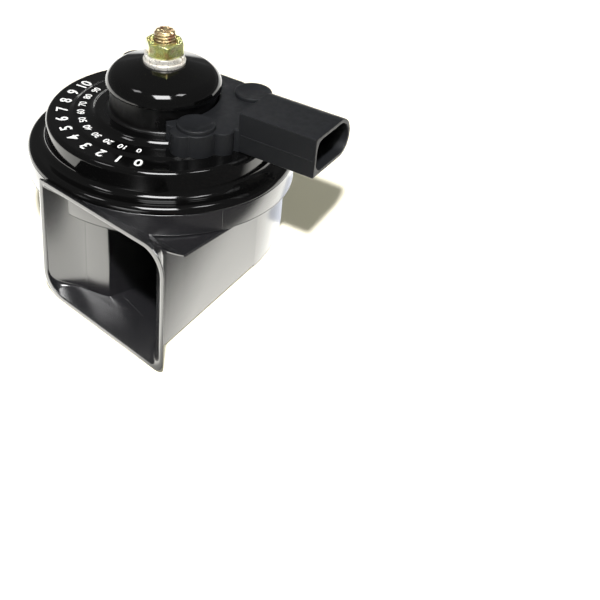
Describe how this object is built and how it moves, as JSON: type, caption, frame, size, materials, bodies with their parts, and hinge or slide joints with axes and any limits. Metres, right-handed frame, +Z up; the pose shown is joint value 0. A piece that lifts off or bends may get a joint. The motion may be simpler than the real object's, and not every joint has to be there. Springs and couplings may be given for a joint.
{
  "type": "snail horn",
  "caption": "Electric snail horn for a road vehicle: pressed steel cap with coil, diaphragm and contact breaker on a moulded spiral trumpet, with plug socket and mounting stud.",
  "frame": {"origin": "where the stud's axis meets the flat underside", "axes": "+Z up, square to the flat underside; -Y out of the trumpet's mouth; +X towards the plug socket's side"},
  "size_m": [0.1209, 0.1161, 0.0798],
  "materials": {
    "housing_plastic": "satin moulded black polypropylene",
    "cover_plastic": "satin moulded black polypropylene",
    "black_enamel": "gloss black enamel on pressed steel",
    "connector_plastic": "matte dark grey glass-filled nylon",
    "yellow_zinc": "yellow-passivated zinc plate, satin",
    "bright_zinc": "zinc plate, satin",
    "bare_steel": "bare cold-rolled steel",
    "spring_steel": "bright spring steel",
    "copper": "enamelled copper wire",
    "brass": "plain brass",
    "bobbin_plastic": "dark grey nylon",
    "gasket_paper": "dark oiled fibre gasket",
    "laminate": "red-brown phenolic laminate"
  },
  "bodies": {
    "horn_body": {"trumpet_body": "housing_plastic", "bottom_cover": "cover_plastic", "steel_housing": "black_enamel", "dome_cap": "black_enamel", "stud_spacer": "bare_steel", "mounting_stud": "yellow_zinc", "pole_core": "bare_steel", "coil_bobbin": "bobbin_plastic", "coil_winding": "copper", "diaphragm_gasket": "gasket_paper", "contact_bracket": "brass", "fixed_contact": "bright_zinc", "contact_insulators": "laminate", "contact_rivets": "bright_zinc", "adjuster_cap": "connector_plastic", "connector_housing": "connector_plastic", "terminal_front": "brass", "terminal_back": "brass", "terminal_rivets": "brass", "rivet_insulators": "laminate", "coil_leads": "copper", "feed_lead": "copper"},
    "washer_pair": {"flat_washer": "bright_zinc", "spring_washer": "bright_zinc"},
    "nut": {"hex_nut": "yellow_zinc"},
    "armature": {"armature": "bare_steel", "armature_washers": "bare_steel", "armature_nut": "bright_zinc", "diaphragm": "spring_steel"},
    "breaker_blade": {"contact_blade": "brass", "moving_contact": "bright_zinc"},
    "adjuster": {"adjusting_screw": "yellow_zinc"}
  },
  "joints": [
    {"name": "washer_lift", "type": "slide", "parent": "horn_body", "child": "washer_pair", "axis": [-0.0524, 0.1852, 0.9813], "range_m": [0, 0.0076]},
    {"name": "nut_turn", "type": "hinge", "parent": "washer_pair", "child": "nut", "pos_m": [-0.00389, 0.01375, 0.07281], "axis": [-0.0524, 0.1852, 0.9813], "range_deg": [0, 2160]},
    {"name": "armature_stroke", "type": "slide", "parent": "horn_body", "child": "armature", "axis": [-0.0524, 0.1852, 0.9813], "range_m": [0, 0.0007], "stiffness_N_per_m": 20000, "deforming": ["diaphragm"]},
    {"name": "blade_lift", "type": "hinge", "parent": "horn_body", "child": "breaker_blade", "pos_m": [-0.03443, 0.0218, 0.03618], "axis": [-0.4138, -0.8983, 0.1475], "range_deg": [0, 1.7], "stiffness_Nm_per_rad": 0.001, "springref_deg": 5.73, "deforming": ["contact_blade"]},
    {"name": "adjusting_screw_turn", "type": "hinge", "parent": "horn_body", "child": "adjuster", "pos_m": [-0.03056, 0.02078, 0.04081], "axis": [-0.0524, 0.1852, 0.9813], "range_deg": [-90, 90]}
  ],
  "couplings": [
    {"joint": "washer_lift", "follows": "nut_turn", "m_per_rad": 0.00019894},
    {"joint": "blade_lift", "follows": "armature_stroke", "rad_per_m": 41.2}
  ]
}
